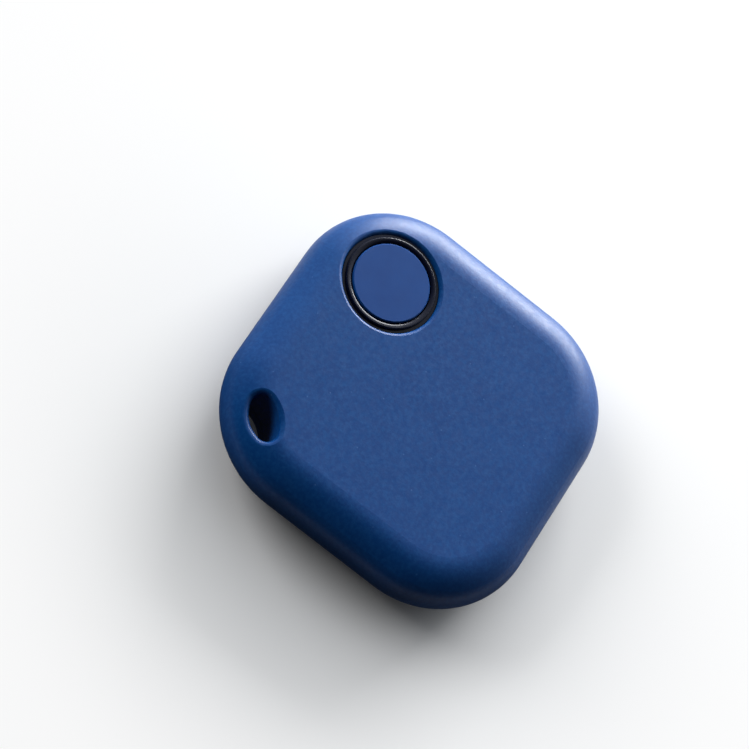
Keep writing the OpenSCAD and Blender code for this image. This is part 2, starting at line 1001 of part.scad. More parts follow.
// Sounder feet: soldered metal tabs at two sides
module buzzer_feet() {
  foot_w = 1.6;
  tab_l = 0.7;
  foot_y = 2.4;
  color("#c8ccd0")
    at_buzzer()
      for (turn = [0, 180])
        rotate(turn)
          for (y = [-1, 1])
            translate([buzzer_side / 2, y * foot_y - foot_w / 2, 0])
              cube([tab_l, foot_w, foot_t]);
}

// Rectangular component standing on the board, with its size across, along and up
module chip_block(size) {
  translate([-size[0] / 2, -size[1] / 2, board_top])
    cube(size);
}

// Radio and processor, with a dimple that marks its first pad
module bluetooth_chip() {
  dimple_r = 0.25;
  dimple_depth = 0.1;
  dimple_in = 0.6;
  color("#1b1c1e")
    translate(right_place(13, 29))
      difference() {
        chip_block(chip_size);
        translate([dimple_in - chip_size[0] / 2, chip_size[1] / 2 - dimple_in,
                   board_top + chip_size[2] - dimple_depth])
          cylinder(h = over, r = dimple_r);
      }
}

// Ceramic antenna at the board's edge
module chip_antenna() {
  color("#dfe3e2")
    translate(left_place(4, 13))
      chip_block(antenna_size);
}

// Main crystal in its metal can
module main_crystal() {
  color("#cfcfca")
    translate(right_place(6, 10.5))
      chip_block(main_crystal_size);
}

// Clock crystal in its metal can
module watch_crystal() {
  color("#c6c8c6")
    translate(right_place(6, -7))
      chip_block(watch_crystal_size);
}

// Small two-ended component at a place on the board, lying across it or along it
module passive(place, size, along) {
  translate(place)
    rotate(along ? 90 : 0)
      chip_block(size);
}

// Capacitors around the radio and the sounder
module capacitors() {
  color("#b48a62") {
    passive(right_place(17, 43), capacitor_size, false);
    passive(right_place(9, 17), capacitor_size, false);
    passive(right_place(10, -25), capacitor_size, true);
    passive(right_place(26.5, 30), capacitor_size, true);
    passive(right_place(26.5, 37), capacitor_size, true);
    passive(left_place(13, 21), capacitor_size, true);
    passive(left_place(17, 53), capacitor_size, false);
  }
}

// Resistors around the radio and the sounder
module resistors() {
  color("#1f2022") {
    passive(left_place(13, 28), resistor_size, true);
    passive(left_place(18, 43), resistor_size, true);
    passive(left_place(17, 58), resistor_size, false);
    passive(left_place(24.5, 58), resistor_size, false);
  }
}

// Inductors of the supply and the antenna
module inductors() {
  color("#4a4642") {
    passive(right_place(25, 43), inductor_size, false);
    passive(left_place(7, 26), inductor_size, false);
  }
}

// Places what is drawn about the origin at the sounder's driver
module at_driver() {
  translate([0, 0, board_top])
    translate(left_place(29, 46))
      children();
}

// Sounder's driver: small moulded transistor
module driver_transistor() {
  color("#191a1c")
    at_driver()
      translate([-driver_size[0] / 2, -driver_size[1] / 2, driver_lift])
        cube(driver_size);
}

// Leads of the driver: two on one side and one on the other
module transistor_leads() {
  color("#c8ccd0")
    at_driver() {
      for (y = [-1, 1])
        translate([driver_size[0] / 2, y * lead_spacing / 2 - lead_size[1] / 2, 0])
          cube(lead_size);
      translate([-driver_size[0] / 2 - lead_size[0], -lead_size[1] / 2, 0])
        cube(lead_size);
    }
}

front_shell();
button_ring();
button_cap();
rear_shell();
circuit_board();
cell_can();
cell_gasket();
cell_cap();
cell_anode();
cell_separator();
cell_cathode();
cell_clip();
negative_contact();
cell_pad();
switch_base();
switch_terminals();
switch_dome();
switch_plunger();
switch_frame();
buzzer_base();
buzzer_coil();
buzzer_magnet();
buzzer_diaphragm();
buzzer_case();
buzzer_feet();
bluetooth_chip();
chip_antenna();
main_crystal();
watch_crystal();
capacitors();
resistors();
inductors();
driver_transistor();
transistor_leads();
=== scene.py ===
"""Looks of a bluetooth tracker tag: a soft-edged square with a push button and a keyring slot.

Every CAD node gets a procedural material. Details that only show with the cover off are built
here: tinned ends, solder, pads, traces and ink on the board, the foam pad and the switch's dome.
Lengths are in millimetres, apart from those of the light, floor and camera, which are in metres.
"""

import math
from collections import namedtuple
from itertools import product

import bmesh
import bpy
from mathutils import Matrix, Vector
from mathutils.bvhtree import BVHTree


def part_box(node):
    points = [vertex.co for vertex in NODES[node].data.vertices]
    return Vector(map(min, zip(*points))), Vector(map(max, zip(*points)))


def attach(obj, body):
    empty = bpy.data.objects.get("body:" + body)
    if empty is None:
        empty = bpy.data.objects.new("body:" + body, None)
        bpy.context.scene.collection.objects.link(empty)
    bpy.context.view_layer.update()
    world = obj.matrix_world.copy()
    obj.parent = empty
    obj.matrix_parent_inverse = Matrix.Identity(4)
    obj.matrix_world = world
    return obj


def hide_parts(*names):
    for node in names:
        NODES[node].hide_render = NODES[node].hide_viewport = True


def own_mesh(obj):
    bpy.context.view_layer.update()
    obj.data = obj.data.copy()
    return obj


MM = 0.001
IMAGE_SIZE = 749

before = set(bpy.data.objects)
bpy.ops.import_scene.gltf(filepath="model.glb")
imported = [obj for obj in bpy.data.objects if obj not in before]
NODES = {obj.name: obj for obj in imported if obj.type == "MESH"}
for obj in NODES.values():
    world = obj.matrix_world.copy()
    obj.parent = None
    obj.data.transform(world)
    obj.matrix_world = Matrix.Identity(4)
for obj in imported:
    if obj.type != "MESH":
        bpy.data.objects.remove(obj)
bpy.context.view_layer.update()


# Shader nodes

NOISE_RANGE = (0.3, 0.7)  # where most of a noise texture's values lie
WAVE_RATE = 20  # radians that a wave texture turns by in one unit, at a scale of 1
MIX_FIRST, MIX_SECOND, MIX_RESULT = 6, 7, 2  # the Mix node's sockets for colours


def srgb(red, green, blue):
    """Linear colour of an 8-bit screen colour."""

    def linear(value):
        share = value / 255
        return share / 12.92 if share <= 0.04045 else ((share + 0.055) / 1.055) ** 2.4

    return (linear(red), linear(green), linear(blue), 1.0)


def grey(level):
    """Linear grey."""
    return (level, level, level, 1.0)


class Graph:
    """Nodes of a shader. What is fed to a node is another node's output or a constant."""

    def __init__(self, tree):
        self.nodes = tree.nodes
        self.links = tree.links

    def feed(self, socket, value):
        """Links a socket to an output, or sets it to a constant."""
        if isinstance(value, bpy.types.NodeSocket):
            self.links.new(value, socket)
        else:
            socket.default_value = value

    def add(self, kind, values=None, **settings):
        """Outputs of a new node, with its settings made and its sockets fed."""
        node = self.nodes.new("ShaderNode" + kind)
        for name, setting in settings.items():
            setattr(node, name, setting)
        for socket, value in (values or {}).items():
            self.feed(node.inputs[socket], value)
        return node.outputs

    def math(self, operation, *values):
        """Result of an operation on numbers."""
        return self.add("Math", dict(enumerate(values)), operation=operation)["Value"]

    def vector_math(self, operation, *values):
        """Outputs of an operation on vectors."""
        return self.add("VectorMath", dict(enumerate(values)), operation=operation)

    def part(self, vector, axis):
        """A vector's X, Y or Z."""
        return self.add("SeparateXYZ", {"Vector": vector})[axis]

    def remap(self, value, to=(0.0, 1.0), source=NOISE_RANGE, **settings):
        """A value carried from one range to another, held at both ends."""
        ends = dict(zip(("From Min", "From Max", "To Min", "To Max"), source + to))
        return self.add("MapRange", {"Value": value, **ends}, **settings)["Result"]

    def mix(self, share, first, second):
        """A colour between two, by a share."""
        values = {"Factor": share, MIX_FIRST: first, MIX_SECOND: second}
        return self.add("Mix", values, data_type="RGBA")[MIX_RESULT]

    def mix_shader(self, share, first, second):
        """A shader between two, by a share."""
        return self.add("MixShader", {0: share, 1: first, 2: second})["Shader"]


class Surface(Graph):
    """A procedural material whose textures are laid out in the part's own frame."""

    def __init__(self, name, metallic=0.0, specular=0.5):
        self.material = bpy.data.materials.new(name)
        self.material.use_nodes = True
        super().__init__(self.material.node_tree)
        self.shader = self.nodes["Principled BSDF"]
        self.shader.inputs["Metallic"].default_value = metallic
        self.shader.inputs["Specular IOR Level"].default_value = specular
        self.place = self.add("TexCoord")["Object"]

    def stretched(self, scale):
        """The part's frame, scaled along each axis by the given factors."""
        return self.add("Mapping", {"Vector": self.place, "Scale": scale})["Vector"]

    def noise(self, grain, detail=2.0, place=None):
        """Noise whose lumps are about as wide as the grain."""
        values = {"Vector": place or self.place, "Scale": 1 / (grain * MM), "Detail": detail}
        return self.add("TexNoise", values)["Fac"]

    def clouds(self, grain, detail=2.0):
        """Noise that runs from 0 to 1."""
        return self.remap(self.noise(grain, detail))

    def cells(self, size):
        """Distance to the nearest of many scattered points, for pores and grains."""
        values = {"Vector": self.place, "Scale": 1 / (size * MM)}
        return self.add("TexVoronoi", values)["Distance"]

    def bands(self, pitch, axis):
        """Even waves along one axis, a pitch apart."""
        values = {"Vector": self.place, "Scale": 2 * math.pi / (WAVE_RATE * pitch * MM)}
        return self.add("TexWave", values, bands_direction=axis)["Fac"]

    def off_axis(self, centre):
        """Distance in metres from an upright axis through a point."""
        axis = (centre[0] * MM, centre[1] * MM, 0)
        shift = self.vector_math("SUBTRACT", self.place, axis)["Vector"]
        flat = self.vector_math("MULTIPLY", shift, (1, 1, 0))["Vector"]
        return self.vector_math("LENGTH", flat)["Value"]

    def turned(self, centre, grain):
        """Fine circles around an upright axis, as a lathe or a press leaves them."""
        values = {"W": self.off_axis(centre), "Scale": 1 / (grain * MM), "Detail": 3.0}
        return self.add("TexNoise", values, noise_dimensions="1D")["Fac"]

    def on_edge_faces(self):
        """1 on upright faces and 0 on level ones."""
        normal = self.add("NewGeometry")["Normal"]
        level = self.math("ABSOLUTE", self.part(normal, "Z"))
        return self.remap(level, to=(1.0, 0.0), source=(0.4, 0.6))

    def colour(self, value):
        """Colour of the surface."""
        self.feed(self.shader.inputs["Base Color"], value)

    def rough(self, texture, low, high):
        """Roughness between two values, by a texture."""
        self.feed(self.shader.inputs["Roughness"], self.remap(texture, to=(low, high)))

    def bump(self, height, depth):
        """Relief of the given depth, on top of any set before."""
        normal = self.shader.inputs["Normal"]
        values = {"Height": height, "Distance": depth * MM, "Strength": 1.0}
        if normal.is_linked:
            values["Normal"] = normal.links[0].from_socket
        self.feed(normal, self.add("Bump", values)["Normal"])


# Materials


def soft_touch_blue():
    """Matte plastic of the covers, with faint clouds, a very fine grain and sparse pale specks."""
    s = Surface("shell_blue", specular=0.31)
    plain = s.mix(s.clouds(grain=5.0, detail=4), srgb(2, 57, 118), srgb(5, 62, 124))
    grain = s.remap(s.noise(grain=0.4, detail=5), to=(0.0, 0.42), source=(0.4, 0.75))
    grained = s.mix(grain, plain, srgb(28, 87, 148))
    specks = s.remap(s.cells(size=1.6), to=(0.35, 0.0), source=(0.02, 0.065))
    s.colour(s.mix(specks, grained, srgb(90, 130, 185)))
    s.rough(s.noise(grain=0.6, detail=4), low=0.36, high=0.48)
    s.bump(s.noise(grain=0.22, detail=3), depth=0.008)
    return s.material


def satin_blue():
    """Satin plastic of the button, smoother than the covers."""
    s = Surface("button_blue", specular=0.31)
    s.colour(s.mix(s.clouds(grain=3.0, detail=3), srgb(4, 57, 121), srgb(8, 62, 127)))
    s.rough(s.noise(grain=0.2), low=0.38, high=0.46)
    s.bump(s.noise(grain=0.12), depth=0.002)
    return s.material


def satin_black():
    """Blue-black of the bezel: a smooth moulding with a satin shine."""
    s = Surface("bezel_black", specular=0.32)
    s.colour(s.mix(s.noise(grain=1.5), srgb(3, 7, 24), srgb(7, 12, 34)))
    s.rough(s.noise(grain=0.4, detail=3), low=0.24, high=0.29)
    s.bump(s.noise(grain=0.3), depth=0.0015)
    return s.material


def moulded(name, dark, light, rough, grain, depth):
    """Moulded plastic or fired ceramic: cloudy colour and the fine grain of its mould."""
    s = Surface(name)
    s.colour(s.mix(s.clouds(grain=1.2, detail=3), dark, light))
    s.rough(s.noise(grain), low=rough - 0.06, high=rough + 0.06)
    s.bump(s.noise(grain, detail=3), depth)
    return s.material


def plated(name, dark, light, rough, along=(1, 1, 1)):
    """Rolled or plated metal: dull patches of colour, and fine lines along one way."""
    s = Surface(name, metallic=1.0)
    lines = s.noise(grain=0.12, detail=3, place=s.stretched(along))
    s.colour(s.mix(s.clouds(grain=2.5), dark, light))
    s.rough(lines, low=rough - 0.04, high=rough + 0.05)
    s.bump(lines, depth=0.001)
    return s.material


def turned_steel(name, centre):
    """Pressed stainless steel of the coin cell, with fine circles about its axis."""
    s = Surface(name, metallic=1.0)
    circles = s.turned(centre, grain=0.15)
    s.colour(s.mix(s.clouds(grain=3.0, detail=4), srgb(176, 175, 172), srgb(206, 205, 202)))
    s.rough(circles, low=0.24, high=0.32)
    s.bump(circles, depth=0.0006)
    s.bump(s.noise(grain=0.5), depth=0.001)
    return s.material


def solder_mask(name, dark, light, edge):
    """Green lacquer over woven glass, with the bare laminate on the cut edges."""
    s = Surface(name)
    weave = s.math("MULTIPLY", s.bands(pitch=0.42, axis="X"), s.bands(pitch=0.42, axis="Y"))
    cloud = s.mix(s.clouds(grain=4.0, detail=4), dark, light)
    threads = s.remap(weave, to=(0.0, 0.16), source=(0.0, 1.0))
    lacquer = s.mix(threads, cloud, srgb(92, 150, 96))
    s.colour(s.mix(s.on_edge_faces(), lacquer, edge))
    s.rough(s.noise(grain=0.6, detail=3), low=0.26, high=0.38)
    s.bump(weave, depth=0.004)
    s.bump(s.noise(grain=0.9), depth=0.006)
    return s.material


def granular(name, dark, light, rough, size, depth):
    """Pressed grains, as in a pellet or a sintered magnet."""
    s = Surface(name)
    grains = s.cells(size)
    s.colour(s.mix(s.remap(grains, source=(0.1, 0.8)), light, dark))
    s.rough(s.noise(grain=size), low=rough - 0.08, high=rough + 0.08)
    s.bump(grains, depth)
    return s.material


def fibrous(name, dark, light):
    """Felted fibres lying flat."""
    s = Surface(name)
    threads = s.noise(grain=0.10, detail=4, place=s.stretched((1, 0.12, 1)))
    crossed = s.noise(grain=0.10, detail=4, place=s.stretched((0.12, 1, 1)))
    felt = s.remap(s.math("MULTIPLY", threads, crossed), source=(0.15, 0.4))
    s.colour(s.mix(felt, dark, light))
    s.rough(threads, low=0.8, high=0.95)
    s.bump(threads, depth=0.01)
    s.bump(crossed, depth=0.01)
    return s.material


def foam(name, dark, light):
    """Closed-cell foam: small open pores on a dull skin."""
    s = Surface(name)
    pores = s.cells(size=0.16)
    s.colour(s.mix(s.remap(pores, source=(0.1, 0.5)), dark, light))
    s.rough(s.noise(grain=0.3), low=0.85, high=0.98)
    s.bump(pores, depth=0.05)
    return s.material


def wound_copper(name):
    """Enamelled wire wound in close layers."""
    s = Surface(name, metallic=1.0)
    turns = s.bands(pitch=0.11, axis="Z")
    s.colour(s.mix(s.remap(turns, source=(0.0, 0.7)), srgb(96, 38, 16), srgb(206, 112, 64)))
    s.rough(s.noise(grain=0.2), low=0.24, high=0.36)
    s.bump(turns, depth=0.03)
    return s.material


def marked_epoxy(name, dimple):
    """Dark moulding compound of a chip, with a round dimple at its first corner."""
    s = Surface(name)
    distance = s.off_axis(dimple)
    spot = s.remap(distance, to=(1.0, 0.0), source=(0.22 * MM, 0.26 * MM))
    hollow = s.remap(distance, source=(0.20 * MM, 0.28 * MM))
    body = s.mix(s.clouds(grain=0.08, detail=3), srgb(20, 20, 22), srgb(34, 34, 36))
    s.colour(s.mix(spot, body, srgb(46, 46, 48)))
    s.rough(s.noise(grain=0.10), low=0.50, high=0.66)
    s.bump(s.noise(grain=0.09, detail=3), depth=0.006)
    s.bump(hollow, depth=0.03)
    return s.material


# Mesh building

SHARP_ANGLE = math.radians(40)
WELD_REACH = 0.0005  # closer corners of a CAD mesh are joined
LEVEL_TOLERANCE = 0.01
AXIS_RADIUS = 0.001  # a smaller circle is a single corner
MITRE_LIMIT = 0.5
FILLET_STEPS = 6
FILLET_FLARE = 0.25


def box_mm(node):
    """Lowest and highest corners of a CAD node."""
    low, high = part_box(node)
    return Vector(low) / MM, Vector(high) / MM


def bounds_of(points):
    """Lowest and highest corners of some points."""
    return Vector(map(min, zip(*points))), Vector(map(max, zip(*points)))


def patches_of(node, keep):
    """Boxes of the joined groups of a CAD node's faces that pass a test on their corners."""
    data = NODES[node].data
    spots = [tuple(round(value / MM, 3) for value in vertex.co) for vertex in data.vertices]
    linked = {}
    for face in data.polygons:
        corners = [spots[index] for index in face.vertices]
        if keep(corners):
            for corner in corners:
                linked.setdefault(corner, set()).update(corners)
    boxes = []
    waiting = set(linked)
    while waiting:
        reached = [waiting.pop()]
        group = list(reached)
        while reached:
            fresh = linked[reached.pop()] & waiting
            waiting -= fresh
            reached.extend(fresh)
            group.extend(fresh)
        boxes.append(bounds_of(group))
    return sorted(boxes, key=lambda box: tuple(box[0]))


def solids_of(node):
    """Boxes of the separate solids of a CAD node."""
    return patches_of(node, lambda corners: True)


def rectangle(low, high, margin=0.0):
    """Corners of a flat rectangle, a margin outside two opposite corners."""
    left, right = low.x - margin, high.x + margin
    near, far = low.y - margin, high.y + margin
    return [Vector(spot) for spot in ((left, near), (right, near), (right, far), (left, far))]


def add_block(mesh, low, high, rounding):
    """Box between two corners, with rounded edges."""
    made = bmesh.ops.create_cube(mesh, size=1.0)["verts"]
    for vertex in made:
        vertex.co = Vector([l + (h - l) * (c + 0.5) for l, h, c in zip(low, high, vertex.co)])
    edges = dict.fromkeys(edge for vertex in made for edge in vertex.link_edges)
    bmesh.ops.bevel(
        mesh, geom=list(edges), offset=rounding, segments=2, profile=0.5, affect="EDGES"
    )


def add_plate(mesh, outline, low, high, tops=None):
    """Upright prism over a flat outline, whose ends may be cut into several faces."""
    count = len(outline)
    floor = [mesh.verts.new((spot.x, spot.y, low)) for spot in outline]
    roof = [mesh.verts.new((spot.x, spot.y, high)) for spot in outline]
    for i in range(count):
        j = (i + 1) % count
        mesh.faces.new((floor[i], floor[j], roof[j], roof[i]))
    for face in tops or [tuple(range(count))]:
        mesh.faces.new([roof[i] for i in face])
        mesh.faces.new([floor[i] for i in reversed(face)])


def add_strip(mesh, points, width, low, high):
    """Flat strip along a bent line, with mitred bends."""
    left, right = [], []
    for index, point in enumerate(points):
        before = (point - points[max(index - 1, 0)]).normalized()
        after = (points[min(index + 1, len(points) - 1)] - point).normalized()
        along = (before + after).normalized()
        across = Vector((-along.y, along.x))
        bend = across.dot(Vector((-after.y, after.x))) if after.length else 1
        reach = width / 2 / max(bend, MITRE_LIMIT)
        left.append(point + across * reach)
        right.append(point - across * reach)
    outline = left + right[::-1]
    last = len(outline) - 1
    tops = [(i, i + 1, last - 1 - i, last - i) for i in range(len(points) - 1)]
    add_plate(mesh, outline, low, high, tops)


def add_circle(mesh, centre, radius, height, sides):
    """Corners around an upright axis, or the single one on it."""
    turns = [2 * math.pi * i / sides for i in range(sides if radius > AXIS_RADIUS else 1)]
    spots = [(centre.x + radius * math.cos(t), centre.y + radius * math.sin(t)) for t in turns]
    return [mesh.verts.new((x, y, height)) for x, y in spots]


def add_band(mesh, first, second):
    """Faces between two circles, either of which may be a single corner."""
    count = max(len(first), len(second))
    for i in range(count):
        pairs = ((first, i), (first, i + 1), (second, i + 1), (second, i))
        corners = [circle[number % len(circle)] for circle, number in pairs]
        mesh.faces.new(list(dict.fromkeys(corners)))


def add_ring(mesh, centre, inner, outer, low, high, sides=24):
    """Flat ring."""
    section = ((inner, low), (outer, low), (outer, high), (inner, high))
    rows = [add_circle(mesh, centre, radius, height, sides) for radius, height in section]
    for first, second in zip(rows, rows[1:] + rows[:1]):
        add_band(mesh, first, second)


def add_fillet(mesh, toe, outward, width, reach, rise):
    """Hollow run of solder from a pad up the face of a lead that stands behind it."""
    across = Vector((-outward.y, outward.x, 0))
    rows = []
    for step in range(FILLET_STEPS + 1):
        angle = math.pi / 2 * step / FILLET_STEPS
        lift = Vector((0, 0, rise * (1 - math.cos(angle))))
        spot = toe + outward * reach * (1 - math.sin(angle)) + lift
        half = width / 2 * (1.0 + FILLET_FLARE * (1 - step / FILLET_STEPS) ** 2)
        rows.append((mesh.verts.new(spot - across * half), mesh.verts.new(spot + across * half)))
    heel = (mesh.verts.new(toe - across * width / 2), mesh.verts.new(toe + across * width / 2))
    for lower, upper in zip(rows, rows[1:]):
        mesh.faces.new((lower[0], lower[1], upper[1], upper[0]))
    mesh.faces.new([row[0] for row in rows] + [heel[0]])
    mesh.faces.new([row[1] for row in rows] + [heel[1]])
    mesh.faces.new((heel[0], heel[1], rows[-1][1], rows[-1][0]))
    mesh.faces.new((heel[0], heel[1], rows[0][1], rows[0][0]))


def finish_piece(name, mesh, body, material):
    """Object made from a mesh in millimetres, riding on a body."""
    bmesh.ops.recalc_face_normals(mesh, faces=mesh.faces)
    bmesh.ops.scale(mesh, vec=(MM, MM, MM), verts=mesh.verts)
    data = bpy.data.meshes.new(name)
    mesh.to_mesh(data)
    mesh.free()
    data.shade_smooth()
    data.set_sharp_from_angle(angle=SHARP_ANGLE)
    data.materials.append(material)
    thing = bpy.data.objects.new(name, data)
    bpy.context.scene.collection.objects.link(thing)
    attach(thing, body)
    return thing


def dress(node, material):
    """Puts a material on a CAD node."""
    thing = NODES[node]
    thing.data.materials.clear()
    thing.data.materials.append(material)


def soften(node, width):
    """Rounds the sharp edges of a CAD node for the eye."""
    thing = NODES[node]
    weld = thing.modifiers.new("weld", "WELD")
    weld.merge_threshold = WELD_REACH * MM
    bevel = thing.modifiers.new("bevel", "BEVEL")
    bevel.width = width * MM
    bevel.segments = 2
    bevel.limit_method = "ANGLE"
    bevel.angle_limit = SHARP_ANGLE
    thing.modifiers.new("normals", "WEIGHTED_NORMAL").keep_sharp = True


# Parts on the board

BOARD_TOP = box_mm("circuit_board")[1].z
PAD_HEIGHT = 0.035
SMALL_PARTS = ("capacitors", "resistors", "inductors", "chip_antenna")
CRYSTALS = ("main_crystal", "watch_crystal")
FOOTED_PARTS = ("buzzer_feet", "switch_terminals", "transistor_leads", "cell_clip")
LARGE_PARTS = ("bluetooth_chip", "driver_transistor", "buzzer_case", "switch_base")
OUTLINED_PARTS = ("buzzer_case", "switch_base", "bluetooth_chip", "watch_crystal", "main_crystal")

CAP_SWELL = 0.02
CAP_ROUNDING = 0.04
SMALL_PAD_SHARE = 0.28
CRYSTAL_PAD_SHARE = 0.3
FILLET_REACH = 0.2
FILLET_RISE_SHARE = 0.55

CHIP_PAD_LENGTH, CHIP_PAD_WIDTH = 0.21, 0.12
LEAD_PITCH = 0.5
LEAD_MARGIN = 0.5
LEAD_WIDTH = 0.26
LEAD_HEIGHT = 0.2
LEAD_INSIDE, LEAD_OUTSIDE = 0.195, 0.02
LEAD_ROUNDING = 0.02


def long_axis(low, high):
    """Number of the longer of a box's two level axes."""
    return 0 if high.x - low.x > high.y - low.y else 1


def ends_of(low, high, share):
    """Boxes of the two ends of an oblong part, by their share of it, and the way each faces."""
    axis = long_axis(low, high)
    length = (high[axis] - low[axis]) * share
    near, far = high.copy(), low.copy()
    near[axis] = low[axis] + length
    far[axis] = high[axis] - length
    back, front = Vector((0, 0, 0)), Vector((0, 0, 0))
    back[axis], front[axis] = -1, 1
    return [(low.copy(), near, back), (far, high.copy(), front)]


def end_caps(name, node, share, tin):
    """Tinned ends wrapped around the small parts of a node."""
    around = Vector((CAP_SWELL, CAP_SWELL, 0))
    over = Vector((CAP_SWELL, CAP_SWELL, CAP_SWELL))
    mesh = bmesh.new()
    for part_low, part_high in solids_of(node):
        for low, high, _ in ends_of(part_low, part_high, share):
            add_block(mesh, low - around, high + over, CAP_ROUNDING)
    finish_piece(name, mesh, "base", tin)


def seat_small_parts(board):
    """Pads for the two ends of each small part, and the solder on them."""
    solder = bmesh.new()
    for node in SMALL_PARTS:
        for index, (part_low, part_high) in enumerate(solids_of(node)):
            axis = long_axis(part_low, part_high)
            rise = (part_high.z - part_low.z) * FILLET_RISE_SHARE
            for low, high, out in ends_of(part_low, part_high, SMALL_PAD_SHARE):
                board.add_pad(low, high, (node, index), out)
                toe = (low + high) / 2
                toe[axis] = high[axis] if out[axis] > 0 else low[axis]
                toe.z = BOARD_TOP + PAD_HEIGHT
                add_fillet(solder, toe, out, (high - low)[1 - axis], FILLET_REACH, rise)
    return solder


def seat_crystals(board):
    """Pads for the two ends of each crystal."""
    for node in CRYSTALS:
        for low, high, out in ends_of(*box_mm(node), CRYSTAL_PAD_SHARE):
            board.add_pad(low, high, node, out)


def feet_of(node):
    """Boxes of the faces of a CAD node that stand on the board."""

    def on_board(corners):
        return all(abs(corner[2] - BOARD_TOP) < LEVEL_TOLERANCE for corner in corners)

    return patches_of(node, on_board)


def seat_feet(board):
    """Pads under the parts that stand on feet."""
    for node in FOOTED_PARTS:
        for low, high in feet_of(node):
            board.add_pad(low, high, node)


def chip_leads():
    """Places of the leads along the chip's four sides, and the way each faces."""
    low, high = box_mm("bluetooth_chip")
    middle = (low + high) / 2
    side = high.x - low.x
    count = int((side - 2 * LEAD_MARGIN) / LEAD_PITCH) + 1
    leads = []
    for i in range(count):
        along = (i - (count - 1) / 2) * LEAD_PITCH
        for out in (Vector((1, 0, 0)), Vector((0, 1, 0)), Vector((-1, 0, 0)), Vector((0, -1, 0))):
            across = Vector((-out.y, out.x, 0))
            leads.append((middle + out * side / 2 + across * along, out))
    return leads


def lead_box(centre, out, back, front, width):
    """Box that reaches from a point so far back and so far to the front along a way."""
    across = Vector((-out.y, out.x, 0)) * width / 2
    return bounds_of((centre - out * back - across, centre + out * front + across))


def seat_chip(board):
    """Pads around the chip, and the leads that stand on them."""
    leads = bmesh.new()
    for centre, out in chip_leads():
        half = CHIP_PAD_LENGTH / 2
        low, high = lead_box(centre, out, half, half, CHIP_PAD_WIDTH)
        board.add_pad(low, high, "bluetooth_chip", out)
        low, high = lead_box(centre, out, LEAD_INSIDE, LEAD_OUTSIDE, LEAD_WIDTH)
        low.z, high.z = BOARD_TOP, BOARD_TOP + LEAD_HEIGHT
        add_block(leads, low, high, LEAD_ROUNDING)
    return leads


# Copper and ink on the board

TRACE_HEIGHT, TRACE_WIDTH = 0.025, 0.22
TRACE_REACH = 5.0  # pads further apart are not joined
TRACES_PER_PAD = 2
SHORTEST_LEG = 0.05  # a line whose bend would leave a shorter leg runs straight
CLEARANCE = 0.2
RIM_MARGIN = 0.35
SPOT_STEP = 0.12  # between the points of a line at which its room is tested
PROBE_HEIGHT = 5.0  # above the board, from where its top face is looked for

PAD_GROW = 0.08
PAD_TOE = 0.24  # how much further a pad reaches on its outer side
PAD_SPOTS = 4  # steps between the points that mark a pad's room as taken

VIA_INNER, VIA_OUTER = 0.13, 0.3
VIA_DISTANCES = (0.95, 1.5)
VIA_WAYS = [Vector((1, 0)), Vector((-1, 0)), Vector((0, 1)), Vector((0, -1))]
STITCH_INSET, STITCH_PITCH = 0.75, 1.5
STITCH_FROM_PARTS, STITCH_FROM_VIAS = 0.4, 1.0

INK_HEIGHT, INK_WIDTH = 0.04, 0.14
INK_GAP = 0.2
INK_EVERY = 3  # only each third point of an ink line is drawn
OUTLINE_GAP = 0.35
CELL_CIRCLE_GAP = 0.45
CELL_CIRCLE_STEP = 3  # degrees
DOT_OFFSET, DOT_INNER, DOT_OUTER = 0.75, 0.02, 0.18

Pad = namedtuple("Pad", "low high owner out")


def bent_line(start, end):
    """Line between two points with one bend of 45 degrees."""
    step = end - start
    straight = abs(abs(step.x) - abs(step.y))
    if abs(step.x) > abs(step.y):
        corner = start + Vector((math.copysign(straight, step.x), 0))
    else:
        corner = start + Vector((0, math.copysign(straight, step.y)))
    if min(straight, (end - corner).length) > SHORTEST_LEG:
        return [start, corner, end]
    return [start, end]


def spots_along(line):
    """Points along a bent line, close together."""
    spots = []
    for start, end in zip(line, line[1:]):
        count = max(int((end - start).length / SPOT_STEP), 1)
        spots.extend(start.lerp(end, i / count) for i in range(count + 1))
    return spots


def thinned(spots):
    """Every few points of a line, and its last."""
    kept = spots[::INK_EVERY]
    return kept if kept[-1] == spots[-1] else kept + spots[-1:]


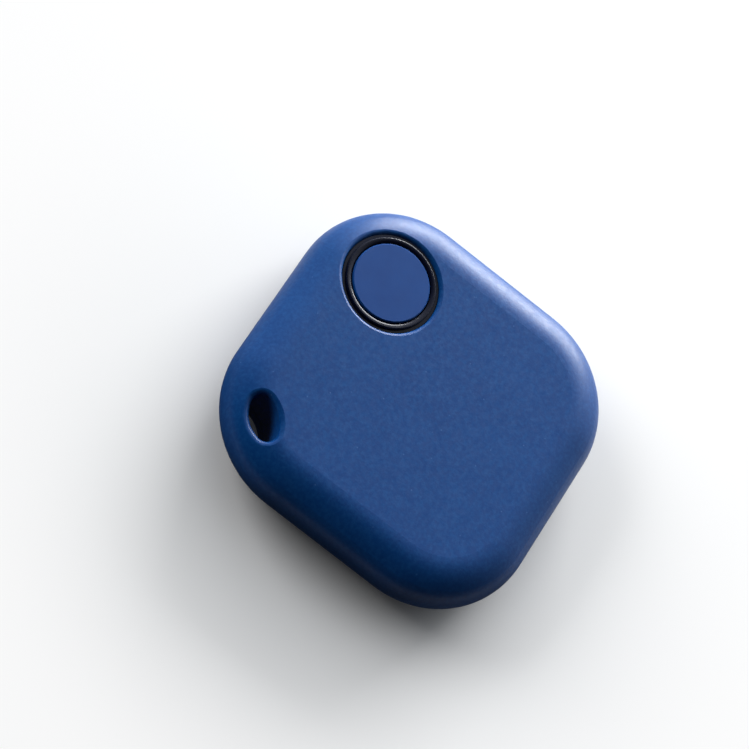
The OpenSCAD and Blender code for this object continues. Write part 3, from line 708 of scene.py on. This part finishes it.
class Board:
    """Layout of the copper on top of the circuit board, and the room that it leaves."""

    def __init__(self):
        data = NODES["circuit_board"].data
        corners = [vertex.co / MM for vertex in data.vertices]
        self.tree = BVHTree.FromPolygons(corners, [face.vertices for face in data.polygons])
        self.pads = []
        self.taken = []  # points on the copper, each with the number of its pad
        self.lines = []
        self.vias = []

    def add_pad(self, low, high, owner, out=None):
        """Pad a little wider than what stands on it, and longer on the outer side."""
        low = Vector((low.x - PAD_GROW, low.y - PAD_GROW))
        high = Vector((high.x + PAD_GROW, high.y + PAD_GROW))
        if out is not None:
            low += Vector((min(out.x, 0), min(out.y, 0))) * PAD_TOE
            high += Vector((max(out.x, 0), max(out.y, 0))) * PAD_TOE
        number = len(self.pads)
        self.pads.append(Pad(low, high, owner, out))
        size = high - low
        for i, j in product(range(PAD_SPOTS + 1), repeat=2):
            spot = Vector((low.x + size.x * i / PAD_SPOTS, low.y + size.y * j / PAD_SPOTS))
            self.taken.append((spot, number))

    def on_board(self, spot):
        """Whether a spot lies on the board's top face, a margin away from its edges and holes."""
        margin = RIM_MARGIN
        for dx, dy in ((0, 0), (margin, 0), (-margin, 0), (0, margin), (0, -margin)):
            above = Vector((spot.x + dx, spot.y + dy, BOARD_TOP + PROBE_HEIGHT))
            hit = self.tree.ray_cast(above, Vector((0, 0, -1)))[0]
            if hit is None or abs(hit.z - BOARD_TOP) > LEVEL_TOLERANCE:
                return False
        return True

    def clear(self, spots, own, gap):
        """Whether some spots keep their distance from all copper but that of their own pads."""
        for spot in spots:
            if not self.on_board(spot):
                return False
            for other, number in self.taken:
                if number not in own and (other - spot).length < gap:
                    return False
        return True

    def lay(self, line, number):
        """Lays a trace that belongs to a pad."""
        self.lines.append(line)
        self.taken.extend((spot, number) for spot in spots_along(line))

    def join_pads(self):
        """Joins near pads of different parts, shortest first, wherever a bent line has room."""
        centres = [(pad.low + pad.high) / 2 for pad in self.pads]
        pairs = []
        for i, first in enumerate(self.pads):
            for j, second in enumerate(self.pads[:i]):
                length = (centres[i] - centres[j]).length
                if first.owner != second.owner and length < TRACE_REACH:
                    pairs.append((length, i, j))
        used = [0] * len(self.pads)
        for _, i, j in sorted(pairs):
            if max(used[i], used[j]) < TRACES_PER_PAD:
                line = bent_line(centres[i], centres[j])
                if self.clear(spots_along(line), (i, j), TRACE_WIDTH / 2 + CLEARANCE):
                    self.lay(line, i)
                    used[i] += 1
                    used[j] += 1
        for number, centre in enumerate(centres):
            if not used[number]:
                self.end_in_via(number, centre)

    def end_in_via(self, number, centre):
        """Leads a pad that is still alone to a via close by."""
        pad = self.pads[number]
        size = pad.high - pad.low
        ways = ([] if pad.out is None else [pad.out.to_2d()]) + VIA_WAYS
        for way, distance in product(ways, VIA_DISTANCES):
            half = abs(way.x) * size.x / 2 + abs(way.y) * size.y / 2
            end = centre + way * (half + distance)
            spots = spots_along([centre, end, end + way * VIA_OUTER])
            if self.clear(spots, (number,), VIA_OUTER + CLEARANCE):
                self.lay([centre, end], number)
                self.vias.append(end)
                return

    def stitch_edge(self, parts):
        """Row of vias along the rim, wherever nothing else stands."""
        low, high = box_mm("circuit_board")
        length = high.x - low.x - 2 * STITCH_INSET
        count = int(length / STITCH_PITCH)
        for i in range(count + 1):
            t = low.x + STITCH_INSET + length * i / count
            rim = ((t, low.y + STITCH_INSET), (t, high.y - STITCH_INSET),
                   (low.x + STITCH_INSET, t), (high.x - STITCH_INSET, t))
            for spot in map(Vector, rim):
                if self.free_for_via(spot, parts):
                    self.vias.append(spot)

    def free_for_via(self, spot, parts):
        """Whether a via has room at a spot beside the parts, the other vias and the copper."""
        gap = STITCH_FROM_PARTS
        for low, high in parts:
            if low.x - gap < spot.x < high.x + gap and low.y - gap < spot.y < high.y + gap:
                return False
        if any((spot - other).length < STITCH_FROM_VIAS for other in self.vias):
            return False
        return self.clear([spot], (), VIA_OUTER + CLEARANCE)

    def draw_line(self, mesh, line):
        """Plain ink line, broken wherever it would cross bare metal or leave the board."""
        run = []
        for spot in spots_along(line) + [None]:
            if spot is not None and self.clear([spot], (), INK_GAP):
                run.append(spot)
                continue
            if len(run) > INK_EVERY:
                add_strip(mesh, thinned(run), INK_WIDTH, BOARD_TOP, BOARD_TOP + INK_HEIGHT)
            run = []


def pads_and_vias(board):
    """Bare metal of the board."""
    mesh = bmesh.new()
    top = BOARD_TOP + PAD_HEIGHT
    for pad in board.pads:
        add_plate(mesh, rectangle(pad.low, pad.high), BOARD_TOP, top)
    for spot in board.vias:
        add_ring(mesh, spot, VIA_INNER, VIA_OUTER, BOARD_TOP, top)
    return mesh


def traces(board):
    """Copper lines that show through the lacquer."""
    mesh = bmesh.new()
    for line in board.lines:
        add_strip(mesh, line, TRACE_WIDTH, BOARD_TOP, BOARD_TOP + TRACE_HEIGHT)
    return mesh


def marks(board):
    """Plain ink: outlines of the larger parts, a circle around the cell, the chip's dot."""
    mesh = bmesh.new()
    for node in OUTLINED_PARTS:
        corners = rectangle(*box_mm(node), margin=OUTLINE_GAP)
        board.draw_line(mesh, corners + corners[:1])
    low, high = box_mm("cell_can")
    centre = ((low + high) / 2).to_2d()
    radius = (high.x - low.x) / 2 + CELL_CIRCLE_GAP
    turns = [math.radians(degrees) for degrees in range(0, 361, CELL_CIRCLE_STEP)]
    board.draw_line(mesh, [centre + radius * Vector((math.cos(t), math.sin(t))) for t in turns])
    low, high = box_mm("bluetooth_chip")
    dot = Vector((low.x - DOT_OFFSET, high.y + DOT_OFFSET))
    add_ring(mesh, dot, DOT_INNER, DOT_OUTER, BOARD_TOP, BOARD_TOP + INK_HEIGHT)
    return mesh


def dress_board(tin, gold, mask, ink):
    """Pads, solder, traces, vias and plain ink outlines on the board."""
    board = Board()
    solder = seat_small_parts(board)
    seat_crystals(board)
    seat_feet(board)
    leads = seat_chip(board)
    board.join_pads()
    standing = SMALL_PARTS + CRYSTALS + LARGE_PARTS
    board.stitch_edge([box for node in standing for box in solids_of(node)])
    finish_piece("solder_joints", solder, "base", tin)
    finish_piece("chip_pads", leads, "base", tin)
    finish_piece("board_pads", pads_and_vias(board), "base", gold)
    finish_piece("board_traces", traces(board), "base", mask)
    finish_piece("board_marks", marks(board), "base", ink)


# Foam pad and switch dome

FOAM_CROWN = 0.05
FOAM_RIM, FOAM_RIM_STEPS = 0.06, 5
FOAM_TUCK = 0.01
FOAM_FACE_STEPS = 8
FOAM_SIDES = 72


def foam_pad(material):
    """Die-cut foam disc stuck under the roof, its lower face a little crowned."""
    low, high = box_mm("cell_pad")
    centre = (low + high) / 2
    radius = (high.x - low.x) / 2
    outline = [(0.0, high.z), (radius - FOAM_TUCK, high.z)]
    for step in range(1, FOAM_RIM_STEPS + 1):
        angle = math.pi / 2 * step / FOAM_RIM_STEPS
        rise = FOAM_CROWN + FOAM_RIM * (1 - math.sin(angle))
        outline.append((radius - FOAM_RIM * (1 - math.cos(angle)), low.z + rise))
    for step in range(1, FOAM_FACE_STEPS + 1):
        share = 1 - step / FOAM_FACE_STEPS
        outline.append(((radius - FOAM_RIM) * share, low.z + FOAM_CROWN * share ** 2))
    mesh = bmesh.new()
    rows = [add_circle(mesh, centre, reach, height, FOAM_SIDES) for reach, height in outline]
    for first, second in zip(rows, rows[1:]):
        add_band(mesh, first, second)
    pad = finish_piece("foam_pad", mesh, "cover", material)
    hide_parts("cell_pad")


def snap_dome(material):
    """Steel dome under the plunger, a copy of the switch's CAD dome."""
    dome = bpy.data.objects.new("snap_dome", NODES["switch_dome"].data.copy())
    dome.data.materials.clear()
    dome.data.materials.append(material)
    bpy.context.scene.collection.objects.link(dome)
    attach(dome, "base")
    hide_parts("switch_dome")
    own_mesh(dome)


# Looks of the CAD nodes

CHIP_DIMPLE_INSET = 0.5
END_CAPS = {
    "capacitor_ends": ("capacitors", 0.24),
    "resistor_ends": ("resistors", 0.22),
    "inductor_ends": ("inductors", 0.2),
    "antenna_ends": ("chip_antenna", 0.14),
}
EDGE_ROUNDING = {
    "bluetooth_chip": 0.05,
    "driver_transistor": 0.08,
    "chip_antenna": 0.06,
    "main_crystal": 0.08,
    "watch_crystal": 0.1,
    "capacitors": 0.06,
    "resistors": 0.04,
    "inductors": 0.09,
    "switch_frame": 0.04,
    "switch_terminals": 0.04,
    "buzzer_feet": 0.03,
    "transistor_leads": 0.03,
    "cell_clip": 0.04,
    "buzzer_case": 0.1,
    "switch_base": 0.06,
}


def dress_case():
    """Covers, button and bezel."""
    blue = soft_touch_blue()
    dress("front_shell", blue)
    dress("rear_shell", blue)
    dress("button_cap", satin_blue())
    dress("button_ring", satin_black())


def dress_cell(spring, gold):
    """Coin cell, what is in it, and its contacts."""
    low, high = box_mm("cell_can")
    steel = turned_steel("cell_steel", (low + high) / 2)
    dress("cell_can", steel)
    dress("cell_cap", steel)
    dress("cell_gasket", moulded("gasket_white", srgb(206, 206, 196), srgb(224, 224, 216),
                                 rough=0.42, grain=0.2, depth=0.004))
    dress("cell_anode", plated("lithium_grey", srgb(112, 114, 118), srgb(150, 152, 156), rough=0.5))
    dress("cell_separator", fibrous("separator_white", srgb(196, 194, 186), srgb(232, 231, 226)))
    dress("cell_cathode", granular("pellet_black", srgb(12, 12, 13), srgb(36, 35, 36),
                                   rough=0.72, size=0.14, depth=0.03))
    dress("cell_clip", spring)
    dress("negative_contact", gold)


def dress_switch(tin):
    """Tactile switch under the button, apart from its dome."""
    dress("switch_base", moulded("switch_black", srgb(14, 14, 15), srgb(26, 26, 28),
                                 rough=0.44, grain=0.12, depth=0.006))
    dress("switch_plunger", moulded("plunger_white", srgb(210, 208, 200), srgb(228, 226, 220),
                                    rough=0.4, grain=0.15, depth=0.004))
    dress("switch_terminals", tin)
    dress("switch_frame", tin)


def dress_buzzer(spring, tin):
    """Sounder."""
    dress("buzzer_case", moulded("buzzer_black", srgb(16, 16, 17), srgb(30, 30, 32),
                                 rough=0.48, grain=0.1, depth=0.008))
    dress("buzzer_base", solder_mask("buzzer_board", srgb(26, 84, 50), srgb(36, 98, 60),
                                     edge=srgb(164, 150, 92)))
    dress("buzzer_coil", wound_copper("coil_copper"))
    dress("buzzer_magnet", granular("magnet_grey", srgb(38, 38, 40), srgb(66, 66, 68),
                                    rough=0.55, size=0.1, depth=0.01))
    dress("buzzer_diaphragm", spring)
    dress("buzzer_feet", tin)


def dress_electronics(tin):
    """Circuit board, chips, crystals, antenna and small parts."""
    dress("circuit_board", solder_mask("board_green", srgb(10, 58, 34), srgb(18, 72, 44),
                                       edge=srgb(150, 138, 82)))
    low, high = box_mm("bluetooth_chip")
    epoxy = marked_epoxy("chip_black", (low.x + CHIP_DIMPLE_INSET, high.y - CHIP_DIMPLE_INSET))
    dress("bluetooth_chip", epoxy)
    dress("driver_transistor", epoxy)
    dress("transistor_leads", tin)
    can = plated("crystal_can", srgb(186, 182, 172), srgb(212, 209, 200),
                 rough=0.26, along=(1, 0.08, 1))
    for node in CRYSTALS:
        dress(node, can)
    dress("chip_antenna", moulded("ceramic_white", srgb(214, 212, 204), srgb(234, 233, 228),
                                  rough=0.5, grain=0.06, depth=0.005))
    dress("capacitors", moulded("ceramic_tan", srgb(150, 112, 76), srgb(176, 138, 98),
                                rough=0.5, grain=0.07, depth=0.006))
    dress("resistors", moulded("resistor_black", srgb(14, 14, 18), srgb(28, 28, 34),
                               rough=0.22, grain=0.15, depth=0.004))
    dress("inductors", granular("ferrite_grey", srgb(44, 44, 46), srgb(78, 77, 76),
                                rough=0.6, size=0.09, depth=0.012))


def dress_everything():
    """Materials of the CAD nodes, and the pieces that go with them."""
    spring = plated("clip_steel", srgb(168, 168, 166), srgb(200, 199, 195),
                    rough=0.28, along=(0.06, 1, 1))
    gold = plated("contact_gold", srgb(196, 150, 62), srgb(226, 184, 96), rough=0.24)
    tin = plated("lead_tin", srgb(170, 172, 174), srgb(206, 208, 210), rough=0.32)
    mask = solder_mask("mask_over_copper", srgb(30, 96, 56), srgb(38, 108, 64),
                       edge=srgb(30, 96, 56))
    ink = moulded("ink_white", srgb(206, 208, 204), srgb(228, 229, 226),
                  rough=0.6, grain=0.1, depth=0.004)
    dress_case()
    dress_cell(spring, gold)
    dress_switch(tin)
    dress_buzzer(spring, tin)
    dress_electronics(tin)
    for node, width in EDGE_ROUNDING.items():
        soften(node, width)
    for name, (node, share) in END_CAPS.items():
        end_caps(name, node, share, tin)
    foam_pad(foam("foam_black", srgb(14, 14, 15), srgb(36, 36, 38)))
    snap_dome(spring)
    dress_board(tin, gold, mask, ink)


# Floor, light and camera, in metres and degrees

FLOOR_SIZE = 3.0
FLOOR_DROP = 0.0001
FLOOR_PAINT = 0.9
FLOOR_BOUNCE = 0.05  # how pale the floor is as it lights the tag, and how pale its painted shade is in reflections
FLOOR_GLOW_UNDER, FLOOR_GLOW = 0.015, 0.75
GLOW_FROM, GLOW_TO = 20 * MM, 55 * MM  # distances from the tag over which the glow rises
PAINTED_SHADE_FROM, PAINTED_SHADE_TO = 10 * MM, -10 * MM  # X over which painted shade makes the floor dark to reflections

KEY_LIGHT = {"azimuth": -1, "elevation": 13, "distance": 0.3,
             "width": 0.25, "height": 0.135, "watts": 2.12}
SIDE_LIGHT = {"azimuth": 80, "elevation": 24, "distance": 2.5,
              "width": 1.8, "height": 1.0, "watts": 46}
ROOM_TINT = (0.9, 0.95, 1.0, 1)
ROOM_DIM, ROOM_BRIGHT = 0.02, 2.05
ROOM_DARK_UP_TO = -0.15  # X of the directions where the room starts to brighten
ROOM_CURVE = 2.0

CAMERA_PIVOT = Vector((0, 0, 3.5 * MM))
CAMERA_DISTANCE = 0.4
CAMERA_RIGHT = Vector((0.493, -0.7808, 0.3839))
CAMERA_TOWARD = Vector((-0.4526, 0.1467, 0.8796))
FOCAL_PX = 3735.5
OFF_RIGHT_PX, OFF_DOWN_PX = 37.03, 34.96  # how far the camera turns away from its pivot
SENSOR_MM = 36


def floor_white():
    """Pale floor that keeps the tag's shadow and sends little light back up.

    Away from the tag it glows white, to the eye and in reflections. Near the tag, reflections
    see its -X side darkened by painted shade, which keeps the tag's -X edge dark.
    """
    material = bpy.data.materials.new("floor_white")
    material.use_nodes = True
    g = Graph(material.node_tree)
    g.nodes.remove(g.nodes["Principled BSDF"])
    place = g.add("TexCoord")["Object"]
    rays = g.add("LightPath")
    # painted shade: the floor's -X side is dark to reflections only, not to the eye
    painted_shade_side = g.remap(g.part(place, "X"), source=(PAINTED_SHADE_FROM, PAINTED_SHADE_TO))
    painted_shade_in_reflections = g.math("MULTIPLY", painted_shade_side, rays["Is Glossy Ray"])
    shade = g.mix(painted_shade_in_reflections, grey(FLOOR_PAINT), grey(FLOOR_BOUNCE))
    paint = g.add("BsdfDiffuse", {"Color": shade})["BSDF"]
    dim = g.add("BsdfDiffuse", {"Color": grey(FLOOR_BOUNCE)})["BSDF"]
    glow = g.add("Emission", {"Strength": 1.0})["Emission"]
    away = g.vector_math("LENGTH", place)["Value"]
    share = g.remap(away, to=(FLOOR_GLOW_UNDER, FLOOR_GLOW), source=(GLOW_FROM, GLOW_TO),
                    interpolation_type="SMOOTHSTEP")
    seen = g.mix_shader(share, paint, glow)
    surface = g.mix_shader(rays["Is Diffuse Ray"], seen, dim)
    g.feed(g.nodes["Material Output"].inputs["Surface"], surface)
    return material


def add_floor():
    """Wide floor that the tag lies on."""
    bpy.ops.mesh.primitive_plane_add(size=FLOOR_SIZE, location=(0, 0, -FLOOR_DROP))
    floor = bpy.context.object
    floor.name = "floor"
    floor.data.materials.append(floor_white())


def add_area_light(name, azimuth, elevation, distance, width, height, watts):
    """Soft box that looks at the tag, turned from +X towards +Y by its azimuth."""
    turn, rise = math.radians(azimuth), math.radians(elevation)
    level = math.cos(rise)
    direction = Vector((math.cos(turn) * level, math.sin(turn) * level, math.sin(rise)))
    lamp = bpy.data.lights.new(name, "AREA")
    lamp.shape = "RECTANGLE"
    lamp.size = width
    lamp.size_y = height
    lamp.energy = watts
    thing = bpy.data.objects.new(name, lamp)
    thing.location = direction * distance
    thing.rotation_euler = direction.to_track_quat("Z", "Y").to_euler()
    thing.visible_camera = False
    bpy.context.scene.collection.objects.link(thing)
    return thing


def add_room():
    """Room that is dim towards -X and grows brighter towards +X."""
    world = bpy.data.worlds.new("studio")
    world.use_nodes = True
    g = Graph(world.node_tree)
    across = g.part(g.add("TexCoord")["Generated"], "X")
    rise = g.remap(across, source=(ROOM_DARK_UP_TO, 1.0))
    level = g.math("MULTIPLY_ADD", g.math("POWER", rise, ROOM_CURVE), ROOM_BRIGHT, ROOM_DIM)
    background = g.nodes["Background"].inputs
    g.feed(background["Color"], ROOM_TINT)
    g.feed(background["Strength"], level)
    bpy.context.scene.world = world


def add_lights():
    """A low soft box close by towards +X, a far one towards +Y that leaves no highlight, a room."""
    add_area_light("key", **KEY_LIGHT)
    side = add_area_light("side", **SIDE_LIGHT)
    side.visible_glossy = False
    add_room()


def add_camera():
    """Camera at the photograph's viewing angle, framed as the photograph is.

    The vectors point to the right of the picture and from the pivot to the camera. The camera
    is turned from its pivot by some pixels, so that the tag lies where it does in the picture.
    """
    right, toward = CAMERA_RIGHT.normalized(), CAMERA_TOWARD.normalized()
    up = toward.cross(right).normalized()
    turned = right * (OFF_RIGHT_PX / FOCAL_PX) - up * (OFF_DOWN_PX / FOCAL_PX)
    back = (toward + turned).normalized()
    side = (right - back * right.dot(back)).normalized()
    data = bpy.data.cameras.new("camera")
    data.sensor_width = SENSOR_MM
    data.lens = SENSOR_MM * FOCAL_PX / IMAGE_SIZE
    data.clip_start = 0.01
    data.clip_end = 20
    camera = bpy.data.objects.new("camera", data)
    pose = Matrix((side, back.cross(side), back)).transposed().to_4x4()
    pose.translation = CAMERA_PIVOT + toward * CAMERA_DISTANCE
    camera.matrix_world = pose
    bpy.context.scene.collection.objects.link(camera)
    bpy.context.scene.camera = camera


dress_everything()
add_floor()
add_lights()
add_camera()
bpy.context.scene.view_settings.view_transform = "Standard"
